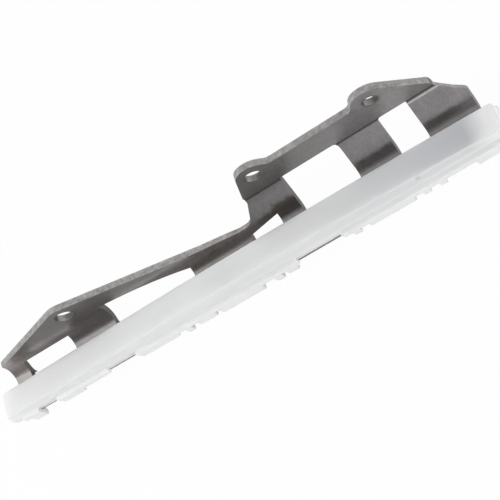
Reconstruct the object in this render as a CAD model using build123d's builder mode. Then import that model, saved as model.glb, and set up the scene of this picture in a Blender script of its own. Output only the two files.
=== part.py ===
from build123d import *
import os
from math import asin, atan2, cos, hypot, radians, sin, tan

os.makedirs("parts", exist_ok=True)

# A timing chain guide: a stamped steel bracket, bent along its whole length,
# and a nylon shoe that clips on its flange and rubs on the chain.
# Origin: middle of the centre bolt hole. X runs along the chain, +Z is up out
# of the rubbing face, and the bolts leave towards -Y. All lengths in mm.
# An "x" is measured from the centre bolt hole, a "height" from the flange top.

# Sheet and its bends
sheet = 3.0
bend_radius = 8.5
web_angle = 45.0
crease_radius = 0.8
ear_step = 7.0
flange_width = 15.4
flange_height = -25.7

# Bolt holes and the rounded lugs about them
left_hole_x = -116.7
left_hole_height = 20.3
left_hole_radius = 4.65
left_lug_radius = 8.5
centre_hole_radius = 4.25
right_hole_x = 61.3
right_hole_height = 28.0
right_hole_radius = 3.3
ear_lug_radius = 8.7
centre_lug_shift_x = 0.8
lug_blend = 4.0

# Outline of the bracket
steel_left = -168.1
steel_right = 93.1
left_corner_height = 8.9
ear_top_height = 28.5
ear_left_x = -14.6
ear_right_x = 82.7
ear_shoulder_height = 14.8
ear_shoulder_round = 3.5
taper_start_x = -55.6
taper_middle_x = -46.6
taper_end_x = -25.7
taper_middle_angle = 77.5
taper_end_angle = 60.5
neck_root_x = -19.5
neck_angle = 85.0
neck_blend = 4.5
tip_shoulder_x = 88.9
tip_shoulder_rise = 8.0
tip_end_rise = 4.3
tip_blend = 1.5

# Windows between the legs. A top is a height above the flange on the upright
# windows, and elsewhere a distance up the sheet from where its plane touches.
window_foot = 12.0
window_1_left = -158.7
window_1_right = -129.4
window_1_angle = 60.5
window_1_top = 0.0
window_1_foot_round = 3.5
window_2_left = -104.1
window_2_right = -56.3
window_2_angle = 75.0
window_2_top_left = 4.5
window_2_top_right = -4.4
window_2_foot_round = 1.5
window_3_left = -22.8
window_3_right = -6.4
window_3_top_left = -1.9
window_3_top_right = 0.6
window_3_foot_round = 1.4
window_4_left = 4.9
window_4_right = 34.8
window_4_top = 12.6
window_5_left = 54.5
window_5_right = 69.4
window_5_top = 12.1
ear_window_corner = 2.6

# Nylon shoe
shoe_left_overhang = 8.2
shoe_right_overhang = 6.8
shoe_back_gap = 1.3
shoe_crown_height = 7.9
shoe_crown_radius = 3200.0
shoe_crown_x = -20.0
shoe_face_width = 12.0
shoe_corner = 1.6
shoe_edge_round = 0.6
clip_clearance = 0.1
skirt_thickness = 1.7
skirt_shoulder = 1.0
skirt_depth = 2.3
toe_reach = 3.2
toe_lip = 0.9
back_clip_width = 9.0
back_clip_depth = 5.6
gate_mark_radius = 1.5
gate_mark_depth = 2.5
gate_mark_x = 59.2

# How far cuts reach past what they cut, how near a picked edge has to lie, and
# the share of its wall that a round may take
over = 20.0
cut_margin = 1.0
pick_reach = 0.01
round_share = 0.98

# Places worked out from the sizes above
hole_height = -flange_height
ear_front = -sheet / 2
plate_front = ear_front - ear_step
axis_y = plate_front - bend_radius
axis_z = flange_height + bend_radius
outer_radius = bend_radius + sheet
flange_edge = axis_y - flange_width
window_foot_y = axis_y + bend_radius - window_foot
steel_length = steel_right - steel_left
half_turn = radians(web_angle)
web_start = bend_radius * half_turn
tangent_y = axis_y + bend_radius * sin(half_turn)
tangent_height = bend_radius * (1 - cos(half_turn))
crease_height = tangent_height + (ear_front - tangent_y) * tan(half_turn)
web_length = (ear_front - tangent_y) / cos(half_turn)
ear_root_height = crease_height + (crease_radius + sheet) * tan(half_turn / 2)
neck_rise = bend_radius * radians(neck_angle) - web_start
shoulder_wall = abs(ear_shoulder_height - ear_root_height)
shoulder_to_hole_x = ear_right_x - right_hole_x
shoulder_to_hole_height = right_hole_height - ear_shoulder_height
shoulder_to_hole = hypot(shoulder_to_hole_x, shoulder_to_hole_height)
shoulder_slope = atan2(shoulder_to_hole_height, shoulder_to_hole_x) + asin(ear_lug_radius / shoulder_to_hole)
shoulder_corner = radians(90) + shoulder_slope
shoulder_round = min(ear_shoulder_round, round_share * shoulder_wall * tan(shoulder_corner / 2))
shoe_left = steel_left - shoe_left_overhang
shoe_right = steel_right + shoe_right_overhang
shoe_length = shoe_right - shoe_left
shoe_back = axis_y - shoe_back_gap
shoe_crease = shoe_back - shoe_face_width
skirt_inner = flange_edge - clip_clearance
skirt_outer = skirt_inner - skirt_thickness
toe_top = -sheet - clip_clearance
back_clip_windows = [
    (window_1_left, window_1_right),
    (window_2_left, window_2_right),
    (window_4_left, window_4_right),
    (window_5_left, window_5_right),
]
bend_reach = 5.0
foot_end = 3.0
foot_end_y = axis_y + foot_end
ear_reach = ear_front - axis_y
ear_window_foot = -sheet - cut_margin

# Skirt stretches along the flange's free edge, then the clips on them as
# start, end and depth below the flange top
skirts = [(-170.3, -160.1), (-147.7, -115.8), (-98.4, -6.5), (17.2, shoe_right)]
clips = [
    (-167.4, -160.1, 7.0),
    (-147.2, -134.0, 5.0),
    (-97.8, -76.0, 5.0),
    (-71.6, -68.4, 7.0),
    (-64.4, -54.4, 6.0),
    (-51.8, -28.0, 7.0),
    (-21.0, -17.2, 7.0),
    (-14.4, -9.0, 6.2),
    (21.2, 24.6, 5.8),
    (29.4, 52.2, 5.5),
    (56.4, 59.6, 5.5),
    (64.3, 67.4, 5.5),
    (82.3, shoe_right, 6.0),
]


def bend_plane(angle):
    """Plane that touches the inside of the long bend: x along the guide, y up the sheet."""
    turn = radians(angle)
    touch = (0, axis_y + bend_radius * sin(turn), axis_z - bend_radius * cos(turn))
    return Plane(origin=touch, x_dir=(1, 0, 0), z_dir=(0, -sin(turn), cos(turn)))


def front_plane(depth):
    """Upright plane that looks along the bolts: x along the guide, y the height."""
    return Plane(origin=(0, depth, flange_height), x_dir=(1, 0, 0), z_dir=(0, -1, 0))


def section_plane(at_x):
    """Cross-section plane: x is the Y axis, y the height."""
    return Plane(origin=(at_x, 0, flange_height), x_dir=(0, 1, 0), z_dir=(1, 0, 0))


def on_bend(angle, radius):
    """Point of a cross-section on the long bend, by its angle from the flange."""
    turn = radians(angle)
    return (axis_y + radius * sin(turn), bend_radius - radius * cos(turn))


def web_point(slope_distance, depth):
    """Point of a cross-section on the web, by distance up its slope and depth behind its face."""
    turn = radians(web_angle)
    y = tangent_y + slope_distance * cos(turn) + depth * sin(turn)
    return (y, tangent_height + slope_distance * sin(turn) - depth * cos(turn))


def window(plane, reach, low, left_side, right_side, rounded, corner_radius):
    """Cut one window, its sides given as x and top, with this one corner rounded: through the
    upright sheet along this plane's normal, then back into the flange."""
    left, top_left = left_side
    right, top_right = right_side
    with BuildSketch(plane.offset(reach)) as opening:
        with BuildLine():
            Polyline((left, top_left), (left, low), (right, low), (right, top_right), close=True)
        make_face()
        fillet(vertices().sort_by_distance(rounded)[0], corner_radius)
    extrude(opening.sketch, amount=-reach - 2 * sheet, mode=Mode.SUBTRACT)
    with BuildSketch(Plane.XY.offset(flange_height + cut_margin)) as foot:
        with Locations(((left + right) / 2, (window_foot_y + foot_end_y) / 2)):
            Rectangle(right - left, foot_end_y - window_foot_y)
    extrude(foot.sketch, amount=-sheet - 2 * cut_margin, mode=Mode.SUBTRACT)


def bend_low(angle):
    """How far down a bend plane a window has to reach to meet its foot in the flange."""
    return foot_end * cos(radians(angle)) - outer_radius * sin(radians(angle))


# Steel bracket
with BuildPart() as steel_bracket:
    # Flange under the shoe
    with BuildSketch(Plane.XY.offset(flange_height - sheet)):
        with Locations(((steel_left + steel_right) / 2, axis_y - flange_width / 2)):
            Rectangle(steel_length, flange_width)
    extrude(amount=sheet)

    # First half of the long bend, over the whole length
    with BuildSketch(section_plane(steel_left)):
        with BuildLine():
            Line(on_bend(0, bend_radius), on_bend(0, outer_radius))
            CenterArc((axis_y, bend_radius), outer_radius, -90, web_angle)
            Line(on_bend(web_angle, outer_radius), on_bend(web_angle, bend_radius))
            CenterArc((axis_y, bend_radius), bend_radius, -90, web_angle)
        make_face()
    extrude(amount=steel_length)

    # Second half of the long bend, on the left, turns up into the plate
    with BuildSketch(section_plane(steel_left)):
        with BuildLine():
            Line(on_bend(web_angle, bend_radius), on_bend(web_angle, outer_radius))
            CenterArc((axis_y, bend_radius), outer_radius, web_angle - 90, 90 - web_angle)
            Line(on_bend(90, outer_radius), on_bend(90, bend_radius))
            CenterArc((axis_y, bend_radius), bend_radius, web_angle - 90, 90 - web_angle)
        make_face()
    extrude(amount=taper_end_x - steel_left)

    # Left plate, with its lug about the bolt hole
    with BuildSketch(front_plane(plate_front)):
        with BuildLine():
            Polyline(
                (taper_start_x, bend_radius),
                (steel_left, bend_radius),
                (steel_left, left_corner_height),
            )
            CenterArc((left_hole_x, left_hole_height), left_lug_radius, 0, 360)
        make_hull()
    extrude(amount=-sheet)

    # The bar narrows towards the neck: a radial cut through the bend
    taper = [(taper_start_x, 90), (taper_middle_x, taper_middle_angle), (taper_end_x, taper_end_angle)]
    for start, end in zip(taper, taper[1:]):
        for at_x, angle in (start, end):
            with BuildSketch(section_plane(at_x)):
                with BuildLine():
                    Polyline(
                        on_bend(angle, bend_radius - 2 * cut_margin),
                        on_bend(angle, outer_radius + 2 * cut_margin),
                        (axis_y + outer_radius + over, hole_height),
                        (axis_y, hole_height),
                        close=True,
                    )
                make_face()
        loft(ruled=True, mode=Mode.SUBTRACT)

    # Neck, where the round bend becomes the flat web
    with BuildSketch(section_plane(taper_end_x)):
        with BuildLine():
            Line(on_bend(web_angle, bend_radius), on_bend(web_angle, outer_radius))
            CenterArc((axis_y, bend_radius), outer_radius, web_angle - 90, neck_angle - web_angle)
            Line(on_bend(neck_angle, outer_radius), on_bend(neck_angle, bend_radius))
            CenterArc((axis_y, bend_radius), bend_radius, web_angle - 90, neck_angle - web_angle)
        make_face()
    with BuildSketch(section_plane(neck_root_x)):
        with BuildLine():
            Polyline(
                web_point(0, 0),
                web_point(0, sheet),
                web_point(neck_rise, sheet),
                web_point(neck_rise, 0),
                close=True,
            )
        make_face()
    loft()

    # Web, and the crease that turns it upright
    with BuildSketch(section_plane(neck_root_x)):
        with BuildLine():
            front = FilletPolyline(
                web_point(0, 0),
                (ear_front, crease_height),
                (ear_front, ear_root_height),
                radius=crease_radius,
            )
            offset(front, sheet, side=Side.RIGHT)
        make_face()
    extrude(amount=steel_right - neck_root_x)

    # Left side of the first leg, with the round corner where the bar meets it
    ear_left_rise = (crease_height - on_bend(taper_end_angle, bend_radius)[1]) / sin(radians(taper_end_angle))
    with BuildSketch(bend_plane(taper_end_angle).offset(over)):
        with BuildLine():
            Polyline(
                (taper_end_x, 0),
                (neck_root_x, 0),
                (ear_left_x, ear_left_rise),
                (ear_left_x, over),
                (taper_end_x, over),
                close=True,
            )
        make_face()
        fillet(vertices().sort_by(Axis.Y)[:2].sort_by(Axis.X)[-1], neck_blend)
    extrude(amount=-2 * over, mode=Mode.SUBTRACT)

    # Sloping end of the last leg
    with BuildSketch(bend_plane(web_angle).offset(over)):
        with BuildLine():
            Polyline(
                (ear_right_x, over),
                (ear_right_x, web_length),
                (tip_shoulder_x, tip_shoulder_rise),
                (steel_right + cut_margin, tip_end_rise),
                (steel_right + cut_margin, over),
                close=True,
            )
        make_face()
    extrude(amount=-2 * over, mode=Mode.SUBTRACT)
    across_web = Axis((0, 0, 0), bend_plane(web_angle).z_dir)
    tip_edge = edges().filter_by(across_web).sort_by(Axis.X)[-1]
    fillet(tip_edge, tip_blend)

    # Ears, with a lug about each bolt hole
    with BuildSketch(front_plane(ear_front)):
        with BuildLine():
            CenterArc((centre_lug_shift_x, hole_height), ear_lug_radius, 0, 360)
            Line((ear_left_x, ear_root_height), (centre_lug_shift_x, ear_root_height))
        make_hull()
    extrude(amount=-sheet)
    with BuildSketch(front_plane(ear_front)):
        with BuildLine():
            CenterArc((right_hole_x, right_hole_height), ear_lug_radius, 0, 360)
            Polyline(
                (right_hole_x, ear_root_height),
                (ear_right_x, ear_root_height),
                (ear_right_x, ear_shoulder_height),
            )
        make_hull()
        fillet(vertices().sort_by(Axis.X)[-2:].sort_by(Axis.Y)[-1], shoulder_round)
    extrude(amount=-sheet)
    with BuildSketch(front_plane(ear_front)):
        with Locations((right_hole_x / 2, (ear_root_height + ear_top_height) / 2)):
            Rectangle(right_hole_x, ear_top_height - ear_root_height)
    extrude(amount=-sheet)
    ear_top = flange_height + ear_top_height
    through_sheet = edges().filter_by(Axis.Y)
    lug_corners = through_sheet.filter_by_position(Axis.Z, ear_top - pick_reach, ear_top + pick_reach)
    fillet(lug_corners, lug_blend)

    # Windows
    window(
        bend_plane(window_1_angle),
        bend_reach,
        bend_low(window_1_angle),
        (window_1_left, window_1_top),
        (window_1_right, window_1_top),
        (window_1_left, bend_low(window_1_angle)),
        window_1_foot_round,
    )
    window(
        bend_plane(window_2_angle),
        bend_reach,
        bend_low(window_2_angle),
        (window_2_left, window_2_top_left),
        (window_2_right, window_2_top_right),
        (window_2_left, bend_low(window_2_angle)),
        window_2_foot_round,
    )
    window(
        bend_plane(web_angle),
        bend_reach,
        bend_low(web_angle),
        (window_3_left, window_3_top_left),
        (window_3_right, window_3_top_right),
        (window_3_left, bend_low(web_angle)),
        window_3_foot_round,
    )
    window(
        front_plane(ear_front),
        ear_reach,
        ear_window_foot,
        (window_4_left, window_4_top),
        (window_4_right, window_4_top),
        (window_4_right, window_4_top),
        ear_window_corner,
    )
    window(
        front_plane(ear_front),
        ear_reach,
        ear_window_foot,
        (window_5_left, window_5_top),
        (window_5_right, window_5_top),
        (window_5_left, window_5_top),
        ear_window_corner,
    )

    # Bolt holes
    with Locations(front_plane(plate_front)):
        with Locations((left_hole_x, left_hole_height)):
            Hole(left_hole_radius, depth=sheet)
    with Locations(front_plane(ear_front)):
        with Locations((0, hole_height)):
            Hole(centre_hole_radius, depth=sheet)
        with Locations((right_hole_x, right_hole_height)):
            Hole(right_hole_radius, depth=sheet)

steel_bracket.part.label = "steel_bracket"
export_step(steel_bracket.part, "parts/steel_bracket.step")


def crown(at_x):
    """Height of the rubbing face above the flange: it bows up a little along the guide."""
    return shoe_crown_height - (at_x - shoe_crown_x) ** 2 / (2 * shoe_crown_radius)


# Nylon shoe
with BuildPart() as nylon_shoe:
    # Body, with a bowed rubbing face
    with BuildSketch(front_plane(shoe_back)):
        with BuildLine():
            Polyline(
                (shoe_left, crown(shoe_left)),
                (shoe_left, 0),
                (shoe_right, 0),
                (shoe_right, crown(shoe_right)),
            )
            ThreePointArc(
                (shoe_left, crown(shoe_left)),
                (shoe_crown_x, shoe_crown_height),
                (shoe_right, crown(shoe_right)),
            )
        make_face()
    extrude(amount=shoe_back - flange_edge)

    # Its front side slopes out to the flange's edge
    with BuildSketch(section_plane(shoe_left)):
        with BuildLine():
            Polyline(
                (flange_edge, 0),
                (shoe_crease, shoe_crown_height),
                (shoe_crease, shoe_crown_height + cut_margin),
                (flange_edge - cut_margin, shoe_crown_height + cut_margin),
                (flange_edge - cut_margin, 0),
                close=True,
            )
        make_face()
    extrude(amount=shoe_length, mode=Mode.SUBTRACT)
    fillet(edges().filter_by(Axis.Z), shoe_corner)
    rubbing_face = faces().sort_by(Axis.Z)[-1]
    fillet(rubbing_face.edges(), shoe_edge_round)

    # Small round mark left by the moulding gate, on the front side
    with BuildSketch(Plane.XY.offset(flange_height + crown(gate_mark_x) - gate_mark_depth)):
        with Locations((gate_mark_x, shoe_crease - gate_mark_radius)):
            Circle(gate_mark_radius)
    extrude(amount=gate_mark_depth, mode=Mode.SUBTRACT)

    # End stops, past both ends of the steel
    left_stop = (shoe_left, steel_left - clip_clearance)
    right_stop = (shoe_right, steel_right + clip_clearance)
    for end_x, steel_end in (left_stop, right_stop):
        with BuildSketch(Plane.XY.offset(flange_height)):
            with Locations(((end_x + steel_end) / 2, (shoe_back + flange_edge) / 2)):
                Rectangle(abs(end_x - steel_end), shoe_back - flange_edge)
        extrude(amount=-sheet)

    # Skirt along the flange's free edge
    for start, end in skirts:
        with BuildSketch(section_plane(start)):
            with BuildLine():
                Polyline(
                    (skirt_outer, -skirt_depth),
                    (skirt_inner, -skirt_depth),
                    (skirt_inner, 0),
                    (skirt_inner + skirt_thickness, 0),
                    (skirt_inner + skirt_thickness, skirt_shoulder),
                    (skirt_outer, skirt_shoulder),
                    close=True,
                )
            make_face()
        extrude(amount=end - start)

    # Clips that hook under the flange
    for start, end, depth in clips:
        with BuildSketch(section_plane(start)):
            with BuildLine():
                Polyline(
                    (skirt_outer, 0),
                    (skirt_outer, -depth),
                    (skirt_inner, -depth),
                    (skirt_inner + toe_reach, toe_top - toe_lip),
                    (skirt_inner + toe_reach, toe_top),
                    (skirt_inner, toe_top),
                    (skirt_inner, 0),
                    close=True,
                )
            make_face()
        extrude(amount=end - start)

    # Clips at the back, through the windows
    for left, right in back_clip_windows:
        with BuildSketch(section_plane((left + right - back_clip_width) / 2)):
            with BuildLine():
                Polyline(
                    (shoe_back, 0),
                    (shoe_back, -back_clip_depth),
                    (window_foot_y, -back_clip_depth),
                    (window_foot_y - toe_reach, toe_top - toe_lip),
                    (window_foot_y - toe_reach, toe_top),
                    (window_foot_y + clip_clearance, toe_top),
                    (window_foot_y + clip_clearance, 0),
                    close=True,
                )
            make_face()
        extrude(amount=back_clip_width)

nylon_shoe.part.label = "nylon_shoe"
export_step(nylon_shoe.part, "parts/nylon_shoe.step")
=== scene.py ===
# %% [markdown]
# A timing chain guide: a bracket stamped and bent from 3 mm steel sheet, and a
# strip of off-white nylon that clips on its flange, on which the chain runs.
# Both pieces come from the frame with their true shape. So this lesson is about what a frame
# cannot hold: broken edges, the tones of a pressed sheet, light and shade painted on the steel
# and the nylon, the glow of nylon with dark steel under it, and the light of a small studio. The
# frame comes first, because all else is fitted to its two pieces.

# %% Load the frame
from math import radians

import bmesh
import bpy
from mathutils import Matrix, Vector


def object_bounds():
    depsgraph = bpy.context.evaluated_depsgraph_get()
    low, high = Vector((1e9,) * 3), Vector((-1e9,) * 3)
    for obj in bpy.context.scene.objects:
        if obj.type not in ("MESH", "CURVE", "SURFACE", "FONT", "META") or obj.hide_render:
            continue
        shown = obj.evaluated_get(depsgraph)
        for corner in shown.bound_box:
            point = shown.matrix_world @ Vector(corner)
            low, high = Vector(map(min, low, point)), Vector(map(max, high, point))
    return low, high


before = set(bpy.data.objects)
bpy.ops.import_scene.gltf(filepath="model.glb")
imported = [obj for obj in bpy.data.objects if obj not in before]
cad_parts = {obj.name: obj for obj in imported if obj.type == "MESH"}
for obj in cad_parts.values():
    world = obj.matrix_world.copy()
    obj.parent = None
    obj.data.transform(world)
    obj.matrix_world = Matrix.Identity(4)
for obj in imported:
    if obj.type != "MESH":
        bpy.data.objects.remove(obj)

cad_low, cad_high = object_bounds()
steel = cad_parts["steel_bracket"]
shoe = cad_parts["nylon_shoe"]
mm = 0.001
print("nodes:", sorted(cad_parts))
print("size in mm:", [round(side / mm, 1) for side in cad_high - cad_low])

# %% [markdown]
# A finish is one material: a Principled shader, and a small tree of nodes that
# tells it what to read at each point. The tree could be laid by hand in the
# shader editor. In a script, each helper makes one node and joins it, so that
# a finish reads as a short list of what it mixes. The helpers are built up in
# three steps. The first knows where a point lies, in metres on the piece
# itself, and which way the surface looks there, so all that is made of them
# stays put when the camera moves.

# %% What a surface reads
class Surface:
    """A new material with a Principled shader, and what it can read at a point."""

    def __init__(self, name):
        self.material = bpy.data.materials.new(name)
        self.material.use_nodes = True
        self.nodes = self.material.node_tree.nodes
        self.links = self.material.node_tree.links
        self.shader = self.nodes["Principled BSDF"]
        texture = self.nodes.new("ShaderNodeTexCoord")
        self.place = texture.outputs["Object"]
        self.x, self.y, self.z = self.split(self.place)
        self.facing_x, self.facing_y, self.facing_z = self.split(texture.outputs["Normal"])

    def split(self, vector):
        """The three numbers of a vector."""
        node = self.nodes.new("ShaderNodeSeparateXYZ")
        self.links.new(vector, node.inputs["Vector"])
        return node.outputs

    def set(self, **values):
        """Plain values, each on the shader's own socket."""
        for name, value in values.items():
            self.shader.inputs[name.replace("_", " ")].default_value = value

    def feed(self, socket, value):
        """A value that varies over the surface, joined to the shader."""
        self.links.new(value, self.shader.inputs[socket])


print("a surface reads its place and the way it faces")

# %% [markdown]
# The second step adds patterns and colours. Stains, grain and clouds could be
# pictures, but a picture has to be laid flat on the piece first. Noise is
# worked out at each point in space, so it needs no layout and shows no seams.
# A ramp turns a number into a colour, and a mix lays one colour over another.

# %% Patterns and colours
class Patterned(Surface):
    """A surface with noise on it, and colours made from numbers."""

    def stretch(self, scale, shift=(0, 0, 0)):
        """Object coordinates, scaled along each axis and moved."""
        mapping = self.nodes.new("ShaderNodeMapping")
        mapping.inputs["Scale"].default_value = scale
        mapping.inputs["Location"].default_value = shift
        self.links.new(self.place, mapping.inputs["Vector"])
        return mapping.outputs["Vector"]

    def noise(self, scale, detail=4.0, roughness=0.55, vector=None):
        """Clouds from 0 to 1. The scale is how many of them fit in a metre."""
        texture = self.nodes.new("ShaderNodeTexNoise")
        texture.inputs["Scale"].default_value = scale
        texture.inputs["Detail"].default_value = detail
        texture.inputs["Roughness"].default_value = roughness
        self.links.new(vector or self.place, texture.inputs["Vector"])
        return texture.outputs["Fac"]

    def ramp(self, value, stops):
        """Colour ramp, with its stops given as (position, colour)."""
        ramp = self.nodes.new("ShaderNodeValToRGB")
        elements = ramp.color_ramp.elements
        while len(elements) < len(stops):
            elements.new(1.0)
        for element, (position, colour) in zip(elements, stops):
            element.position = position
            element.color = (*colour, 1.0)
        self.links.new(value, ramp.inputs["Fac"])
        return ramp.outputs["Color"]

    def mix(self, first, second, factor, blend="MIX"):
        """The first colour, turned into the second as far as the factor says."""
        node = self.nodes.new("ShaderNodeMix")
        node.data_type = "RGBA"
        node.blend_type = blend
        for name, value in (("A", first), ("B", second), ("Factor", factor)):
            socket = next(s for s in node.inputs if s.name == name and s.enabled)
            if hasattr(value, "is_linked"):
                self.links.new(value, socket)
            else:
                socket.default_value = value
        return next(s for s in node.outputs if s.enabled)


print("a patterned surface adds noise, ramps and mixes")

# %% [markdown]
# The third step makes masks. A mask is a number that is 1 where a tone belongs
# and 0 elsewhere. Painting masks by hand gives the freest shapes, but the
# marks on a pressed part follow its heights, its ends and the way its faces
# look, and a few smooth steps between two limits say that in one line each.

# %% Masks
class Finish(Patterned):
    """A patterned surface with masks that place its tones."""

    def spread(self, value, low, high, out_low, out_high):
        """Number moved from one range to another."""
        node = self.nodes.new("ShaderNodeMapRange")
        node.inputs["From Min"].default_value = low
        node.inputs["From Max"].default_value = high
        node.inputs["To Min"].default_value = out_low
        node.inputs["To Max"].default_value = out_high
        self.links.new(value, node.inputs["Value"])
        return node.outputs["Result"]

    def fade(self, mask, off, on):
        """The first number where the mask is 0, and the second where it is 1."""
        return self.spread(mask, 0.0, 1.0, off, on)

    def step(self, value, start, end):
        """Number that eases from 0 at the start to 1 at the end."""
        if start < end:
            eased = self.spread(value, start, end, 0.0, 1.0)
        else:
            eased = self.spread(value, end, start, 1.0, 0.0)
        eased.node.interpolation_type = "SMOOTHSTEP"
        return eased

    def between(self, value, low, low_inside, high_inside, high):
        """1 between the two inner numbers, easing to 0 at the two outer ones."""
        return self.times(self.step(value, low, low_inside), self.step(value, high, high_inside))

    def times(self, first, second, operation="MULTIPLY"):
        """Two numbers multiplied, or joined by another operation."""
        node = self.nodes.new("ShaderNodeMath")
        node.operation = operation
        self.links.new(first, node.inputs[0])
        self.links.new(second, node.inputs[1])
        return node.outputs["Value"]


print("a finish adds masks")

# %% [markdown]
# The bracket is plain hot-rolled sheet, pressed and tumbled: dull, a little
# warm, and mottled where scale and oil lie on it. A photographed texture could
# give that, but it would need a flat layout of the piece. Noise needs none.
# Four noises, from stains a few centimetres wide down to the grain of the
# mill, serve the cells below, and the broadest sets the first grey. Nearly all
# of a noise lies between two numbers near its middle, so they get names.

# %% Steel: stains and grain
bare_steel = Finish("bare_steel")

stains = bare_steel.noise(30.0, detail=5.0)
smoke = bare_steel.noise(150.0, detail=3.0)
mottle = bare_steel.noise(520.0, detail=4.0, roughness=0.6)
grain = bare_steel.noise(1700.0, detail=2.0)
noise_low, noise_high = 0.3, 0.7

sheet_greys = [
    (0.3, (0.19, 0.18, 0.177)),
    (0.55, (0.2, 0.19, 0.188)),
    (0.75, (0.212, 0.202, 0.201)),
]
steel_colour = bare_steel.ramp(stains, sheet_greys)
print("steel starts from", len(sheet_greys), "greys, spread by its stains")

# %% [markdown]
# The steel is not as bright or as dark along the guide as the lamps here make it: the bend and
# its foot mirror and catch light from the white shoe beside them, and the ears grow brighter
# towards the right end. Lamps alone would give a drift that changes as the part turns. So three
# ramps of painted light and shade run from the left end to the right one and multiply the grey:
# one for the upright plate and ears, one for the long bend below them, and one for the foot of
# the bend, where the shoe begins.

# %% Steel: painted light and shade along the guide
bracket_left, bracket_right = -170 * mm, 95 * mm
plain = (1, 1, 1)


def grey(level):
    """A colour with no hue."""
    return (level, level, level)


# Painted light and shade: each ramp brightens or darkens the grey along the guide, in place of
# reflections and light that the lamps here do not give.
ear_light_and_shade = [
    (0.0, (1.0, 0.98, 0.95)),
    (0.12, (0.73, 0.715, 0.7)),
    (0.38, (0.76, 0.75, 0.74)),
    (0.6, (0.66, 0.65, 0.65)),
    (0.625, (0.57, 0.56, 0.56)),
    (0.665, (0.74, 0.735, 0.735)),
    (0.84, (1.25, 1.24, 1.27)),
    (0.93, (1.4, 1.39, 1.42)),
]
bend_light_and_shade = [
    (0.04, (1.5, 1.44, 1.4)),
    (0.12, (0.9, 0.88, 0.86)),
    (0.5, (0.95, 0.93, 0.91)),
    (0.65, (1.25, 1.24, 1.28)),
]
foot_light_and_shade = [
    (0.02, (0.58, 0.6, 0.6)),
    (0.2, grey(0.85)),
    (0.48, grey(0.85)),
    (0.66, plain),
    (0.78, grey(1.45)),
]
along_bracket = bare_steel.spread(bare_steel.x, bracket_left, bracket_right, 0.0, 1.0)
painted_light_on_bend = bare_steel.ramp(along_bracket, bend_light_and_shade)
painted_light_on_ears = bare_steel.ramp(along_bracket, ear_light_and_shade)
upright = bare_steel.step(bare_steel.z, -17 * mm, -12 * mm)
tones = bare_steel.mix(painted_light_on_bend, painted_light_on_ears, upright)
steel_colour = bare_steel.mix(steel_colour, tones, 1.0, "MULTIPLY")

# Painted light and shade at the foot of the bend, next to the white shoe.
at_foot = bare_steel.step(bare_steel.z, -24.8 * mm, -25.3 * mm)
painted_light_on_foot = bare_steel.ramp(along_bracket, foot_light_and_shade)
steel_colour = bare_steel.mix(steel_colour, painted_light_on_foot, at_foot, "MULTIPLY")
print("steel tones run over", round((bracket_right - bracket_left) / mm), "mm")

# %% [markdown]
# Shears leave a rough, pale torn face all round the edge of the sheet. The cut faces could be
# picked by hand and given a second material. Here the way a face looks and the place where it
# lies pick them, so the choice still holds when the frame is built again. The cuts that look up
# keep their own pale tone with painted light from above laid over it. The ones that look to the
# right are painted dark, as painted shade.

# %% Steel: sheared cuts, with painted light and shade
right_cut_painted_shade = (0.085, 0.09, 0.078, 1)
lit_cut_greys = [(0.35, (0.31, 0.3, 0.295)), (0.65, (0.45, 0.435, 0.425))]

looks_up = bare_steel.step(bare_steel.facing_z, 0.1, 0.35)
looks_off_front = bare_steel.step(bare_steel.facing_y, -0.75, -0.35)
over_bend = bare_steel.step(bare_steel.z, -17.5 * mm, -15.5 * mm)
behind_bend = bare_steel.step(bare_steel.y, -11 * mm, -9.5 * mm)
off_bend = bare_steel.times(over_bend, behind_bend, "MAXIMUM")
sheared = bare_steel.times(bare_steel.times(looks_up, looks_off_front), off_bend)

right_cut = bare_steel.step(bare_steel.facing_x, 0.75, 0.95)
# Painted shade on the cuts that look to the right.
steel_colour = bare_steel.mix(steel_colour, right_cut_painted_shade, right_cut)
# The upper cuts: their pale torn tone, plus painted light from above.
steel_colour = bare_steel.mix(steel_colour, bare_steel.ramp(mottle, lit_cut_greys), sheared)
print("steel cuts are dark on the right and pale above")

# %% [markdown]
# Between the cut and the front of the sheet, the punch rolls a thin round edge. It catches the
# light as the brightest line on the bracket, and that highlight is painted on here. It could be a
# strip of its own, but the bevel below makes it in the mesh, so it only has to be found: it looks
# partly forward, partly up, and it is off the sloping web, whose own face looks that way too.

# %% Steel: painted highlight on the rolled edge
rolled_edge_highlight = (0.6, 0.59, 0.58, 1)

looks_half_forward = bare_steel.between(bare_steel.facing_y, -0.97, -0.85, -0.5, -0.3)
height_over_depth = bare_steel.times(bare_steel.z, bare_steel.y, "SUBTRACT")
off_web = bare_steel.step(height_over_depth, -11.2 * mm, -10.6 * mm)
rolled = bare_steel.times(looks_half_forward, looks_up)
rolled = bare_steel.times(rolled, bare_steel.times(off_bend, off_web))
# Painted highlight along the rolled edge.
steel_colour = bare_steel.mix(steel_colour, rolled_edge_highlight, rolled)
print("steel has a rolled edge of tone", rolled_edge_highlight[:3])

# %% [markdown]
# In the long bend the sheet is drawn round the tool, and there it mirrors the shaded back of the
# shoe as a dark brown band. That reflection is painted here: a dark brown band in the bend. A
# band with straight borders would look too even, so the smoke noise lifts and lowers its upper
# border by about a millimetre. On the leg under the centre hole the band reaches higher and is
# darker, and it fades out towards both ends of the guide.

# %% Steel: painted reflection in the bend
reflection_brown = (0.07, 0.058, 0.05, 1)
band_strength, leg_strength = 0.62, 0.93
band_waver = 0.9 * mm
leg_lift = 2.6 * mm

middle_leg = bare_steel.between(bare_steel.x, -22 * mm, -1 * mm, 8 * mm, 28 * mm)
waver = bare_steel.spread(smoke, noise_low, noise_high, -band_waver, band_waver)
wavy_height = bare_steel.times(bare_steel.z, waver, "ADD")
lifted = bare_steel.fade(middle_leg, 0.0, -leg_lift)
wavy_height = bare_steel.times(wavy_height, lifted, "ADD")

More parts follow.
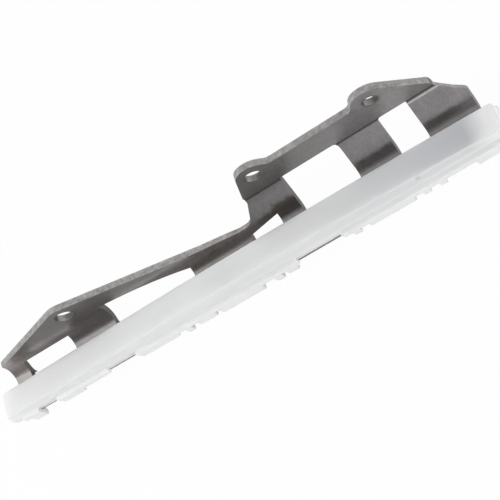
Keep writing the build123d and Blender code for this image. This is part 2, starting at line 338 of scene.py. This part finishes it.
band_top = bare_steel.step(wavy_height, -21.3 * mm, -23.5 * mm)
band_bottom = bare_steel.step(bare_steel.z, -25.2 * mm, -24.1 * mm)
band_length = bare_steel.between(bare_steel.x, -115 * mm, -50 * mm, 80 * mm, 92 * mm)
dark_reflection_band = bare_steel.times(bare_steel.times(band_top, band_bottom), band_length)
band_share = bare_steel.fade(middle_leg, band_strength, leg_strength)
band_share = bare_steel.times(dark_reflection_band, band_share)
# Painted reflection: the shaded back of the shoe, seen as a dark band in the bend.
steel_colour = bare_steel.mix(steel_colour, reflection_brown, band_share)
print("steel has a drawn band that covers up to", round(100 * leg_strength), "% of the grey")

# %% [markdown]
# Above the bend a second one, the crease, turns the sloping web upright into the ears. It is so
# tight that shade falls in a thin dark line along it, and on the right the web glints just below
# it. Both are painted: the line as painted shade, and the glint as a painted highlight. A groove
# in the mesh could make the line, but its depth would be too small to see, so it is a tone
# between two heights.

# %% Steel: painted shade in the crease, and a painted glint
crease_painted_shade = (0.03, 0.027, 0.026, 1)
glint_painted_highlight = (0.62, 0.6, 0.6, 1)
crease_strength, glint_strength = 0.9, 0.8
crease_low, crease_high = -14.4 * mm, -13.2 * mm

on_ears = bare_steel.step(bare_steel.y, -4.0 * mm, -3.5 * mm)
crease = bare_steel.between(bare_steel.z, crease_low, -14.0 * mm, -13.6 * mm, crease_high)
crease = bare_steel.times(crease, on_ears)
crease_shade_share = bare_steel.fade(crease, 0.0, crease_strength)
# Painted shade along the crease.
steel_colour = bare_steel.mix(steel_colour, crease_painted_shade, crease_shade_share)

glint = bare_steel.between(bare_steel.z, -15.1 * mm, -14.8 * mm, -14.6 * mm, -14.3 * mm)
glint_right = bare_steel.step(bare_steel.x, 66 * mm, 70 * mm)
glint_share = bare_steel.fade(bare_steel.times(glint, glint_right), 0.0, glint_strength)
# Painted highlight: the glint just below the crease.
steel_colour = bare_steel.mix(steel_colour, glint_painted_highlight, glint_share)
print("steel has its crease at z =", [round(side / mm, 1) for side in (crease_low, crease_high)])

# %% [markdown]
# Round each of the three bolt holes the sheet is darker in a ring, and the half of the hole's
# wall that looks left is painted dark, as painted shade. Thin washers of geometry would stand out
# as steps. A dark ring is only a distance: the length from the middle of the hole, measured flat
# in x and z, with the hole's radius as its inner edge.

# %% Steel: dark rings, and painted shade in the bores
hole_places = [(0.0, 0.0, 4.25), (-116.7, -5.4, 4.65), (61.3, 2.3, 3.3)]
ring_width = 1.3 * mm
ring_strength, wall_strength = 0.75, 0.75
ring_grey = (0.09, 0.083, 0.078, 1)
wall_painted_shade = (0.1, 0.093, 0.085, 1)


def dark_ring(finish, x, z, radius):
    """1 at the wall of a hole along y, easing to 0 a ring's width away from it."""
    flat = finish.stretch((1, 0, 1), (-x, 0, -z))
    length = finish.nodes.new("ShaderNodeVectorMath")
    length.operation = "LENGTH"
    finish.links.new(flat, length.inputs[0])
    return finish.step(length.outputs["Value"], radius + ring_width, radius)


rings = [dark_ring(bare_steel, x * mm, z * mm, radius * mm) for x, z, radius in hole_places]
near_holes = rings[0]
for ring in rings[1:]:
    near_holes = bare_steel.times(near_holes, ring, "MAXIMUM")

on_front = bare_steel.step(bare_steel.facing_y, -0.85, -0.97)
ring_share = bare_steel.fade(bare_steel.times(near_holes, on_front), 0.0, ring_strength)
steel_colour = bare_steel.mix(steel_colour, ring_grey, ring_share)

bore_wall = bare_steel.times(near_holes, on_front, "SUBTRACT")
# Painted shade on the half of the wall that looks left, away from the light.
left_wall_shade = bare_steel.spread(bare_steel.facing_x, -0.3, 0.8, wall_strength, 0.0)
wall_share = bare_steel.times(bore_wall, left_wall_shade)
steel_colour = bare_steel.mix(steel_colour, wall_painted_shade, wall_share)
print("steel has worn rings round", len(rings), "holes")

# %% [markdown]
# The free end of the flange is the one cut that the camera sees from in front,
# under the shoe. A sheared end has two halves: the punch first burnishes it
# bright, and then it tears and stays dark. Both could be one rough texture,
# but the border between them is plain to see. So it is a ramp of two tones
# over the height, and the torn part grows a little taller from left to right.

# %% Steel: sheared end of the flange
torn_black = (0.1, 0.096, 0.09)
burnish_white = (0.72, 0.72, 0.71)
torn_rise = 0.9 * mm
flange_cut = -32.35 * mm

rise = bare_steel.spread(bare_steel.x, bracket_left, 30 * mm, 0.0, -torn_rise)
cut_height = bare_steel.times(bare_steel.z, rise, "ADD")
through_sheet = bare_steel.spread(cut_height, -28.7 * mm, -25.7 * mm, 0.0, 1.0)
cut_halves = bare_steel.ramp(through_sheet, [(0.22, torn_black), (0.32, burnish_white)])
flange_end = bare_steel.step(bare_steel.y, -32.2 * mm, flange_cut)
steel_colour = bare_steel.mix(steel_colour, cut_halves, flange_end)
print("steel has its flange cut past y =", round(flange_cut / mm, 2), "mm")

# %% [markdown]
# The last layer lies over all the others: thin clouds and the grain of the
# mill, which make every tone above a little uneven. Clean metal would mirror
# the dark room, but a film of oil and scale dulls this sheet. So it is set a
# little under half metallic, and less still on the torn cuts. Its roughness
# varies too: it is smoothest in the bend, duller on the ears and dullest on
# the cuts.

# %% Steel: grain and shine
layers = [
    (smoke, [(0.32, (0.93, 0.925, 0.92)), (0.68, (1.07, 1.065, 1.06))]),
    (mottle, [(noise_low, grey(0.92)), (noise_high, grey(1.08))]),
    (grain, [(noise_low, grey(0.86)), (noise_high, grey(1.14))]),
]
for pattern, stops in layers:
    steel_colour = bare_steel.mix(steel_colour, bare_steel.ramp(pattern, stops), 1.0, "MULTIPLY")
bare_steel.feed("Base Color", steel_colour)

sheet_metallic, cut_metallic = 0.45, 0.2
bare_steel.feed("Metallic", bare_steel.fade(sheared, sheet_metallic, cut_metallic))

bend_roughness = bare_steel.spread(stains, noise_low, noise_high, 0.28, 0.3)
ear_roughness = bare_steel.spread(mottle, noise_low, noise_high, 0.38, 0.44)
cut_roughness = bare_steel.spread(grain, noise_low, noise_high, 0.5, 0.6)
sheet_roughness = bare_steel.mix(bend_roughness, ear_roughness, upright)
bare_steel.feed("Roughness", bare_steel.mix(sheet_roughness, cut_roughness, sheared))


def dress(piece, finish):
    """Give every material slot of a piece the same finish."""
    for slot in piece.material_slots:
        slot.material = finish.material
    print(piece.name, "is finished in", finish.material.name)


dress(steel, bare_steel)

# %% [markdown]
# The shoe is natural nylon, which light enters and leaves again some
# millimetres away. Where the flange lies under it, the steel swallows that
# light and the strip turns grey. Over a window and past the ends it stays
# almost white. A plain white paint would miss that, so the nylon gets a
# subsurface radius of a few millimetres. The thin skirt at the bottom lets
# less light in, which keeps its clips crisp.

# %% Nylon: light inside
light_depth = 5.5 * mm
depth_by_colour = (1.04, 1.03, 0.95)
nylon_ior = 1.53

nylon = Finish("nylon")
nylon.shader.subsurface_method = "RANDOM_WALK"
nylon.set(Subsurface_Scale=light_depth, Subsurface_Radius=depth_by_colour, IOR=nylon_ior)
on_skirt = nylon.step(nylon.z, -21.5 * mm, -25.0 * mm)
strip_glow, skirt_glow = 1.0, 0.25
nylon.feed("Subsurface Weight", nylon.fade(on_skirt, strip_glow, skirt_glow))
print("nylon lets light about", round(light_depth / mm, 1), "mm deep")

# %% [markdown]
# The shoe does not come out as grey over the steel, nor as white past the steel's right end, as
# the light inside it makes it here. What lies inside and behind the shoe, such as ribs and the
# backs of the clips, also changes how bright it looks from place to place, and the frame has
# those only roughly. Modelling them finer would be guesswork. So two ramps along the shoe paint
# light and shade into its tone: one for the whole strip, greyer towards the right and white past
# the steel's end, and one for the rubbing face alone, which gets a faint painted grey patch over
# the neck of the bracket and a second near the right end.

# %% Nylon: painted light and shade along the shoe
shoe_left, shoe_right = -177 * mm, 100 * mm
# Painted shade greys the strip towards the right, and painted light whitens it past the steel's
# right end.
strip_light_and_shade = [
    (0.0, (0.89, 0.89, 0.88)),
    (0.3, (0.86, 0.865, 0.865)),
    (0.65, (0.84, 0.845, 0.84)),
    (0.8, (0.77, 0.775, 0.785)),
    (0.945, (0.74, 0.745, 0.76)),
    (0.985, (1.0, 1.0, 0.99)),
]
# Painted shade on the rubbing face: faint grey patches over the neck and near the right end.
face_painted_shade = [
    (0.42, plain),
    (0.5, (0.93, 0.935, 0.94)),
    (0.58, plain),
    (0.82, plain),
    (0.945, (0.82, 0.825, 0.84)),
    (0.985, plain),
]
along_shoe = nylon.spread(nylon.x, shoe_left, shoe_right, 0.0, 1.0)
nylon_colour = nylon.ramp(along_shoe, strip_light_and_shade)
painted_shade_on_face = nylon.ramp(along_shoe, face_painted_shade)
rubbing_face = nylon.step(nylon.facing_z, 0.93, 0.99)
nylon_colour = nylon.mix(nylon_colour, painted_shade_on_face, rubbing_face, "MULTIPLY")
print("nylon tones run over", round((shoe_right - shoe_left) / mm), "mm")

# %% [markdown]
# The front of the strip turns over into the rubbing face in a round rim, which is thin and would
# catch a bright line of light. It is painted a little greyer, as painted shade that keeps that
# line soft, and the skirt below is the whitest part. Both could be parts with materials of their
# own, but the shoe is one moulding. So the way its surface looks picks the rim, and height picks
# the skirt. Faint clouds keep the white from looking like paper.

# %% Nylon: painted shade on the rim, and the skirt
rim_painted_shade = (0.7, 0.705, 0.7, 1)
rim_strength = 0.75
skirt_white = (0.94, 0.94, 0.935, 1)
cloud_whites = [(noise_low, (0.97, 0.975, 0.97)), (noise_high, plain)]

rim = nylon.between(nylon.facing_z, 0.2, 0.6, 0.85, 0.97)
# Painted shade on the rim.
nylon_colour = nylon.mix(nylon_colour, rim_painted_shade, nylon.fade(rim, 0.0, rim_strength))
nylon_colour = nylon.mix(nylon_colour, skirt_white, on_skirt)
clouds = nylon.ramp(nylon.noise(40.0, detail=3.0), cloud_whites)
nylon.feed("Base Color", nylon.mix(nylon_colour, clouds, 1.0, "MULTIPLY"))
print("nylon has a grey rim and a white skirt")

# %% [markdown]
# Melted nylon fills the tool lengthwise, and leaves faint streaks along the
# strip. Geometry that fine would cost far too many faces, so the streaks are a
# noise stretched along x. It varies the gloss and gives a bump of a few
# hundredths of a millimetre.

# %% Nylon: flow lines
flow_height = 0.03 * mm
flow_strength = 0.3

flow = nylon.noise(700.0, detail=2.0, vector=nylon.stretch((0.15, 1.0, 1.0)))
nylon.feed("Roughness", nylon.spread(flow, noise_low, noise_high, 0.48, 0.6))
streaks = nylon.nodes.new("ShaderNodeBump")
streaks.inputs["Distance"].default_value = flow_height
streaks.inputs["Strength"].default_value = flow_strength
nylon.links.new(flow, streaks.inputs["Height"])
nylon.feed("Normal", streaks.outputs["Normal"])
dress(shoe, nylon)

# %% [markdown]
# No edge of a real part is a knife edge. The sheet is tumbled after stamping,
# and a moulding tool has small radii. Once edges are rounded, the faces
# between them have to be shaded smooth, or a bend shows as a row of flat
# strips. Auto smooth from the menu would do it by hand. Here a small group of
# geometry nodes shades all faces smooth, and keeps each edge sharp that is
# steeper than an angle.

# %% Smooth shading
smooth_limit = radians(50)


def smooth_group(name, angle):
    """Geometry nodes that shade smooth, and keep each edge sharper than the angle."""
    group = bpy.data.node_groups.new(name, "GeometryNodeTree")
    for direction in ("INPUT", "OUTPUT"):
        group.interface.new_socket("Geometry", in_out=direction, socket_type="NodeSocketGeometry")
    nodes, links = group.nodes, group.links
    shade = nodes.new("GeometryNodeSetShadeSmooth")
    shade.domain = "FACE"
    split = nodes.new("GeometryNodeSetShadeSmooth")
    split.domain = "EDGE"
    edge = nodes.new("GeometryNodeInputMeshEdgeAngle")
    below = nodes.new("FunctionNodeCompare")
    below.operation = "LESS_THAN"
    below.inputs["B"].default_value = angle
    links.new(edge.outputs["Unsigned Angle"], below.inputs["A"])
    links.new(nodes.new("NodeGroupInput").outputs[0], shade.inputs["Geometry"])
    links.new(shade.outputs["Geometry"], split.inputs["Geometry"])
    links.new(below.outputs["Result"], split.inputs["Shade Smooth"])
    links.new(split.outputs["Geometry"], nodes.new("NodeGroupOutput").inputs[0])
    return group


smooth_shading = smooth_group("smooth_shading", smooth_limit)
print("smooth shading has", len(smooth_shading.nodes), "nodes")

# %% [markdown]
# The edges could be bevelled in the mesh, but the frame's own mesh has to stay
# as it is, and modifiers leave it alone. It is loose triangles, so a Weld
# joins them first, and a planar Decimate clears the flat faces of their inner
# lines. Then a Bevel rounds each true edge by half a millimetre, and weighted
# normals keep the flat faces flat.

# %% Broken edges
edge_round = 0.5 * mm
edge_segments = 3
join_distance = 0.002 * mm
flat_limit = radians(0.2)
bevel_limit = radians(35)


def break_edges(piece):
    """Round every true edge of a piece, and shade it smooth."""
    weld = piece.modifiers.new("join triangles", "WELD")
    weld.merge_threshold = join_distance
    clear = piece.modifiers.new("clear flat faces", "DECIMATE")
    clear.decimate_type = "DISSOLVE"
    clear.angle_limit = flat_limit
    bevel = piece.modifiers.new("broken edges", "BEVEL")
    bevel.width = edge_round
    bevel.segments = edge_segments
    bevel.limit_method = "ANGLE"
    bevel.angle_limit = bevel_limit
    bevel.use_clamp_overlap = True
    bevel.miter_outer = "MITER_ARC"
    smooth = piece.modifiers.new("smooth shading", "NODES")
    smooth.node_group = smooth_shading
    weigh = piece.modifiers.new("flat faces lead", "WEIGHTED_NORMAL")
    weigh.keep_sharp = True
    print(piece.name, "has its edges rounded by", round(edge_round / mm, 2), "mm")


break_edges(steel)
break_edges(shoe)

# %% [markdown]
# A product shot stands on a pale sweep of paper. One square under the guide is enough of it here,
# because the camera looks down and sees no horizon.

# %% Floor
floor_drop = 0.2 * mm
floor_size = 6.0

floor_mesh = bpy.data.meshes.new("floor")
shape = bmesh.new()
bmesh.ops.create_grid(shape, x_segments=1, y_segments=1, size=floor_size / 2)
bmesh.ops.translate(shape, verts=shape.verts, vec=(0, 0, cad_low.z - floor_drop))
shape.to_mesh(floor_mesh)
shape.free()
floor = bpy.data.objects.new("floor", floor_mesh)
bpy.context.scene.collection.objects.link(floor)
print("floor lies at z =", round((cad_low.z - floor_drop) / mm, 1), "mm")

# %% [markdown]
# Paper under a bright lamp would burn out to white, but such a lamp would burn
# out the nylon too. So the floor is matt paint that keeps the guide's shadow,
# and a white glow that only direct looks see: those of the camera, of gloss,
# and through glass. The glow takes nearly the whole share, and it lights
# nothing.

# %% Floor paint
floor_glow = 0.97


def seen_directly(nodes, links):
    """1 for rays from the camera, from gloss and through glass, and 0 for the rest."""
    path = nodes.new("ShaderNodeLightPath")
    value = path.outputs["Is Camera Ray"]
    for name in ("Is Glossy Ray", "Is Transmission Ray"):
        larger = nodes.new("ShaderNodeMath")
        larger.operation = "MAXIMUM"
        links.new(value, larger.inputs[0])
        links.new(path.outputs[name], larger.inputs[1])
        value = larger.outputs[0]
    return value


paint = bpy.data.materials.new("floor_paint")
paint.use_nodes = True
nodes, links = paint.node_tree.nodes, paint.node_tree.links
nodes.clear()
matt = nodes.new("ShaderNodeBsdfDiffuse")
matt.inputs["Color"].default_value = (0.9, 0.9, 0.9, 1)
glow = nodes.new("ShaderNodeEmission")
glow.inputs["Color"].default_value = (1, 1, 1, 1)
share = nodes.new("ShaderNodeMath")
share.operation = "MULTIPLY"
share.inputs[1].default_value = floor_glow
blend = nodes.new("ShaderNodeMixShader")
links.new(seen_directly(nodes, links), share.inputs[0])
links.new(share.outputs[0], blend.inputs[0])
links.new(matt.outputs[0], blend.inputs[1])
links.new(glow.outputs[0], blend.inputs[2])
links.new(blend.outputs[0], nodes.new("ShaderNodeOutputMaterial").inputs["Surface"])
floor_mesh.materials.append(paint)
print("floor glows with a share of", floor_glow)

# %% [markdown]
# Steel shows what stands round it, so the room comes before the lamps. An
# even, pale room is dim on the guide, and the lens sees pure white where it
# looks past the floor. A photographed room would bring windows and colours
# that a small studio does not have.

# %% Room
room_brightness = 0.21

world = bpy.data.worlds.new("room")
bpy.context.scene.world = world
world.use_nodes = True
nodes, links = world.node_tree.nodes, world.node_tree.links
nodes.clear()
room = nodes.new("ShaderNodeBackground")
room.inputs["Color"].default_value = (0.97, 0.98, 1.0, 1)
room.inputs["Strength"].default_value = room_brightness
white = nodes.new("ShaderNodeBackground")
white.inputs["Color"].default_value = (1, 1, 1, 1)
white.inputs["Strength"].default_value = 1.0
blend = nodes.new("ShaderNodeMixShader")
path = nodes.new("ShaderNodeLightPath")
links.new(path.outputs["Is Camera Ray"], blend.inputs[0])
links.new(room.outputs[0], blend.inputs[1])
links.new(white.outputs[0], blend.inputs[2])
links.new(blend.outputs[0], nodes.new("ShaderNodeOutputWorld").inputs["Surface"])
print("room has a brightness of", room_brightness)

# %% [markdown]
# Five softboxes stand round the guide, all of one size and at one distance.
# The one in front lights the upright faces, the one overhead leans to the left
# and lights the rubbing face and the cuts, and the one on the right brightens
# that end. Two weaker ones behind show the rear. One lamp would do for the
# front alone, but the guide is looked at from every side.

# %% Lamps
box_size = 0.6
box_distance = 0.9
middle = (cad_low + cad_high) / 2
softboxes = [
    ("side_box", (0, -1, 0.08), 3.9),
    ("overhead_box", (-0.7, 0, 0.7), 4.7),
    ("back_box", (0, 1, 0.1), 2.4),
    ("back_high_box", (0.3, 0.6, 0.7), 1.6),
    ("right_box", (1, -0.3, 0.05), 5.0),
]


def hang_softbox(name, direction, watts):
    """A square lamp that looks at the middle of the guide from this direction."""
    lamp = bpy.data.lights.new(name, "AREA")
    lamp.shape = "SQUARE"
    lamp.size = box_size
    lamp.energy = watts
    holder = bpy.data.objects.new(name, lamp)
    holder.location = middle + box_distance * direction.normalized()
    holder.rotation_mode = "QUATERNION"
    holder.rotation_quaternion = direction.to_track_quat("Z", "Y")
    holder.visible_camera = False
    bpy.context.scene.collection.objects.link(holder)
    print(name, "gives", watts, "W")


for name, direction, watts in softboxes:
    hang_softbox(name, Vector(direction), watts)

# %% [markdown]
# The camera was worked out from the photograph: the three round holes, the
# outline and the thickness of the sheet fix its place, its turn and its lens.
# Turning a camera by eye would come close, but the holes would not lie on
# their places. The guide's left end is far from it and its right end is near,
# cropped by the edge of the picture.

# %% Camera
camera_place = Vector((0.23341, -0.266531, 0.47718))
camera_right = Vector((0.7803592, -0.2973757, -0.5500974))
camera_up = Vector((0.4634125, 0.8656600, 0.1894244))
lens_mm = 101.712
sensor_mm = 36.0

camera_data = bpy.data.cameras.new("camera")
camera_data.lens = lens_mm
camera_data.sensor_width = sensor_mm
camera = bpy.data.objects.new("camera", camera_data)
turn = Matrix((camera_right, camera_up, camera_right.cross(camera_up))).transposed()
camera.matrix_world = Matrix.Translation(camera_place) @ turn.to_4x4()
bpy.context.scene.collection.objects.link(camera)
bpy.context.scene.camera = camera
bpy.context.scene.view_settings.view_transform = "Standard"
print("camera stands", round(camera_place.length, 3), "m from the centre hole")
